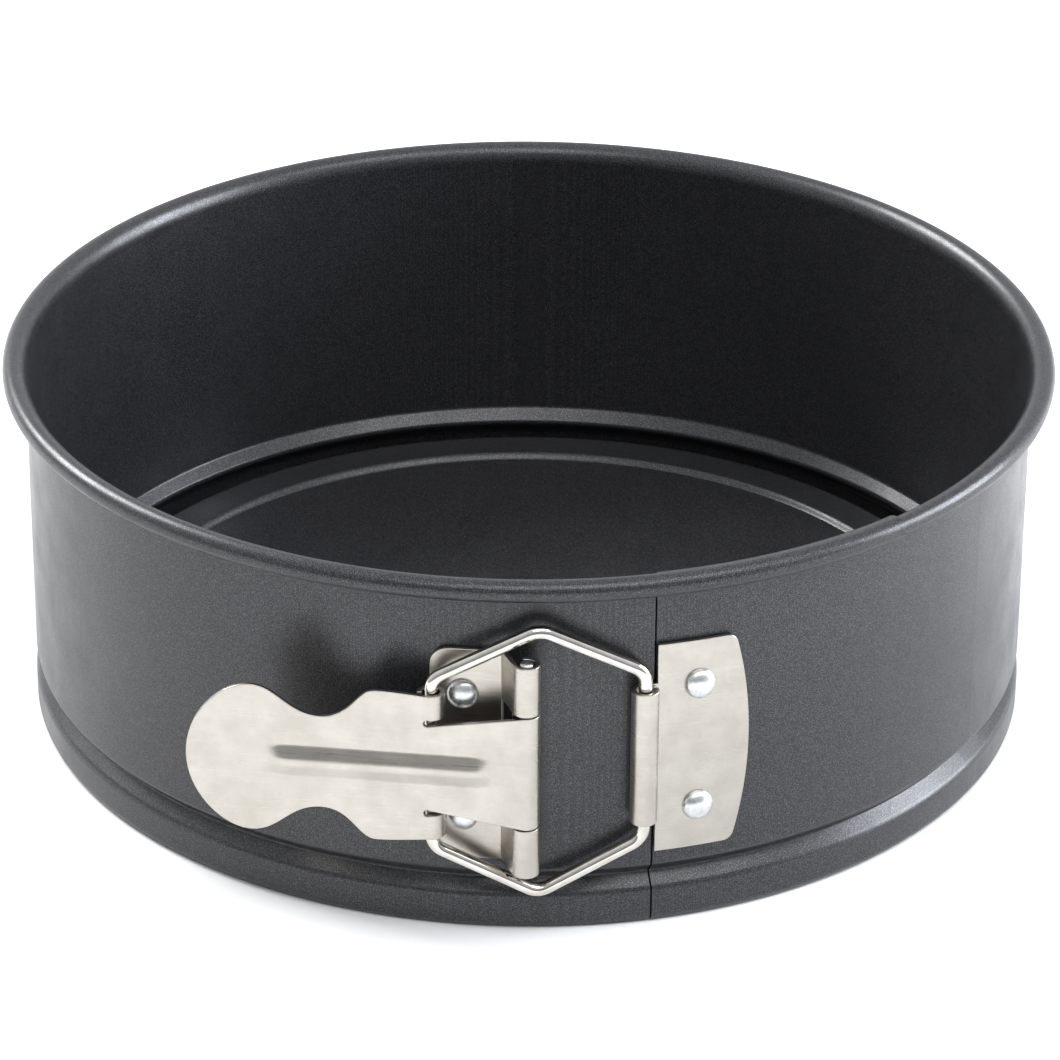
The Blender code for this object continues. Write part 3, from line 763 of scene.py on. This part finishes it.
def buildBailBracket():
    high = bailBracket["halfHeight"]
    barrel = bailBracket["barrelHalfHeight"]
    scale = plateMiddle / wallOuter
    start = barrelAngle * plateMiddle
    inner = band["seam"] * scale
    shoulder = (band["seam"] + bailBracket["width"]) * scale
    bulge = bailBracket["bulge"]
    radius = (high ** 2 + bulge ** 2) / (2 * bulge)
    reach = asin(high / radius)
    free = arcPoints((shoulder + bulge - radius, 0), radius, -reach, reach, 25)
    outline = [(start, -barrel), (inner, -barrel), (inner, -high)] + free
    outline += [(inner, high), (inner, barrel), (start, barrel)]
    corner = bailBracket["corner"]
    piece = newPiece("BailBracket")
    plateOnWall(piece, outline, ((free[0], corner), (free[-1], corner)), ())
    startPlace = roundPan(barrelAngle, plateMiddle)
    choose(piece, lambda place: abs(place.x - startPlace.x) < 0.00005)
    spinRound(barrelAxis, bailBracket["rollAngle"], latch["rollSteps"])
    thicken(piece, latch["plate"])
    roundEdges(piece, latch["edgeRounding"])
    finishPiece(piece, satinNickel, "band_right_front", "satin_nickel", "bail_bracket")


def buildRivet(name, node, body, angle, height):
    outward = Vector((sin(angle), -cos(angle), 0))
    seat = roundPan(angle, plateMiddle + latch["plate"] / 2, height)
    nothingSelected()
    bpy.ops.mesh.primitive_uv_sphere_add(
        segments=40, ring_count=24, radius=rivet["head"], location=seat,
        rotation=(pi / 2, 0, angle), scale=(1, 1, rivet["dome"] / rivet["head"]),
    )
    piece = bpy.context.active_object
    piece.name = name
    piece.data.name = name
    bpy.ops.object.transform_apply(location=True, rotation=True, scale=True)
    bpy.ops.object.mode_set(mode="EDIT")
    bpy.ops.mesh.select_all(action="SELECT")
    bpy.ops.mesh.bisect(plane_co=seat, plane_no=outward, clear_inner=True, use_fill=True)
    bpy.ops.mesh.inset(thickness=rivet["head"] - rivet["shank"])
    bpy.ops.mesh.extrude_region_move(TRANSFORM_OT_translate={"value": -rivet["length"] * outward})
    finishPiece(piece, rivetSteel, body, "rivet_steel", node)


def buildPin():
    nothingSelected()
    bpy.ops.mesh.primitive_cylinder_add(
        vertices=40, radius=latch["pinRadius"], depth=2 * pin["halfLength"], location=pinAxis,
    )
    piece = bpy.context.active_object
    piece.name = "HingePin"
    piece.data.name = "HingePin"
    bpy.ops.object.transform_apply(location=True, rotation=True, scale=True)
    bpy.ops.object.mode_set(mode="EDIT")
    bpy.ops.mesh.select_mode(type="EDGE")
    bpy.ops.mesh.select_all(action="DESELECT")
    bpy.ops.object.mode_set(mode="OBJECT")
    for edge in piece.data.edges:
        first, last = (piece.data.vertices[corner].co.z for corner in edge.vertices)
        edge.select = abs(first - last) < 0.00001
    bpy.ops.object.mode_set(mode="EDIT")
    bpy.ops.mesh.bevel(offset=pin["crown"], segments=5)
    finishPiece(piece, rivetSteel, "band_left_front", "rivet_steel", "hinge_pin")


buildBand()
buildBase()
buildLever()
buildBail()
buildHingeBracket()
buildBailBracket()
buildPin()
hingeRivetAngle = (hingeBracket["width"] - hingeBracket["rivetInset"]) / wallOuter
bailRivetAngle = (band["seam"] + bailBracket["rivetInset"]) / wallOuter
for side, level in ((1, "upper"), (-1, "lower")):
    height = latchHeight + side * latch["rivetPitch"] / 2
    for title, node, body, angle in (
        ("HingeRivet", "hinge_rivet_", "band_left_front", -hingeRivetAngle),
        ("BailRivet", "bail_rivet_", "band_right_front", bailRivetAngle),
    ):
        buildRivet(title + level.title(), node + level, body, angle, height)
print("pieces made")

camera = {
    "elevation": radians(27.17),
    "distance": 1.0416,
    "target": (0.00046, 0, 0.0338),
    "roll": radians(0.38),
    "lens": 170.3,
}


def buildCamera():
    data = bpy.data.cameras.new("camera")
    data.lens = camera["lens"]
    data.sensor_width = 36
    data.clip_start = 0.05
    data.clip_end = 20
    eye = bpy.data.objects.new("camera", data)
    bpy.context.scene.collection.objects.link(eye)
    tilt = camera["elevation"]
    back = Vector((0, -cos(tilt), sin(tilt)))
    right = Vector((1, 0, 0))
    up = back.cross(right)
    roll = camera["roll"]
    across = cos(roll) * right + sin(roll) * up
    upward = back.cross(across)
    place = panCentre + Vector(camera["target"]) + camera["distance"] * back
    turned = Matrix((across, upward, back)).transposed().to_4x4()
    eye.matrix_world = Matrix.Translation(place) @ turned
    bpy.context.scene.camera = eye


studio = {"brightSide": (0, 0.7, 0.7), "front": 0.2, "back": 1.0}
lights = {
    "topBox": {
        "place": (0.3, -0.75, 1.35), "size": (1.6, 0.7), "power": 11, "tint": (1, 1, 1),
    },
    "leftBox": {
        "place": (-1.2, 0.9, 1.2), "size": (0.8, 0.8), "power": 38, "tint": (1, 1, 1),
    },
    "rightBox": {
        "place": (1.5, 0.15, 0.55), "size": (0.8, 0.9), "power": 36, "tint": (0.88, 0.93, 1),
    },
}


def addLight(name, aim, place, size, power, tint):
    data = bpy.data.lights.new(name, "AREA")
    data.shape = "RECTANGLE"
    data.size, data.size_y = size
    data.energy = power
    data.color = tint
    lamp = bpy.data.objects.new(name, data)
    bpy.context.scene.collection.objects.link(lamp)
    lamp.location = place
    lamp.rotation_mode = "QUATERNION"
    lamp.rotation_quaternion = (Vector(aim) - Vector(place)).to_track_quat("-Z", "Y")


def buildStage():
    nothingSelected()
    bpy.ops.mesh.primitive_plane_add(size=12)
    floor = bpy.context.active_object
    floor.name = "floor"
    paper, tree, shader = newMaterial("paper")
    shader.inputs["Base Color"].default_value = (0.9, 0.9, 0.9, 1)
    shader.inputs["Roughness"].default_value = 0.9
    floor.data.materials.append(paper)
    world = bpy.data.worlds.new("studio")
    world.use_nodes = True
    tree = world.node_tree
    background = tree.nodes["Background"]
    direction = tree.nodes.new("ShaderNodeTexCoord").outputs["Generated"]
    facing = tree.nodes.new("ShaderNodeVectorMath")
    facing.operation = "DOT_PRODUCT"
    facing.inputs[1].default_value = studio["brightSide"]
    tree.links.new(direction, facing.inputs[0])
    sky = addNode(tree, "ShaderNodeMapRange", From_Min=-0.7, From_Max=0.4)
    sky.inputs["To Min"].default_value = studio["front"]
    sky.inputs["To Max"].default_value = studio["back"]
    tree.links.new(facing.outputs["Value"], sky.inputs["Value"])
    tree.links.new(sky.outputs["Result"], background.inputs["Strength"])
    background.inputs["Color"].default_value = (0.95, 0.97, 1, 1)
    bpy.context.scene.world = world
    for name, light in lights.items():
        addLight(name, (0, 0, 0.05), **light)


buildCamera()
buildStage()
bpy.context.scene.view_settings.view_transform = "Standard"
print("camera and light set")
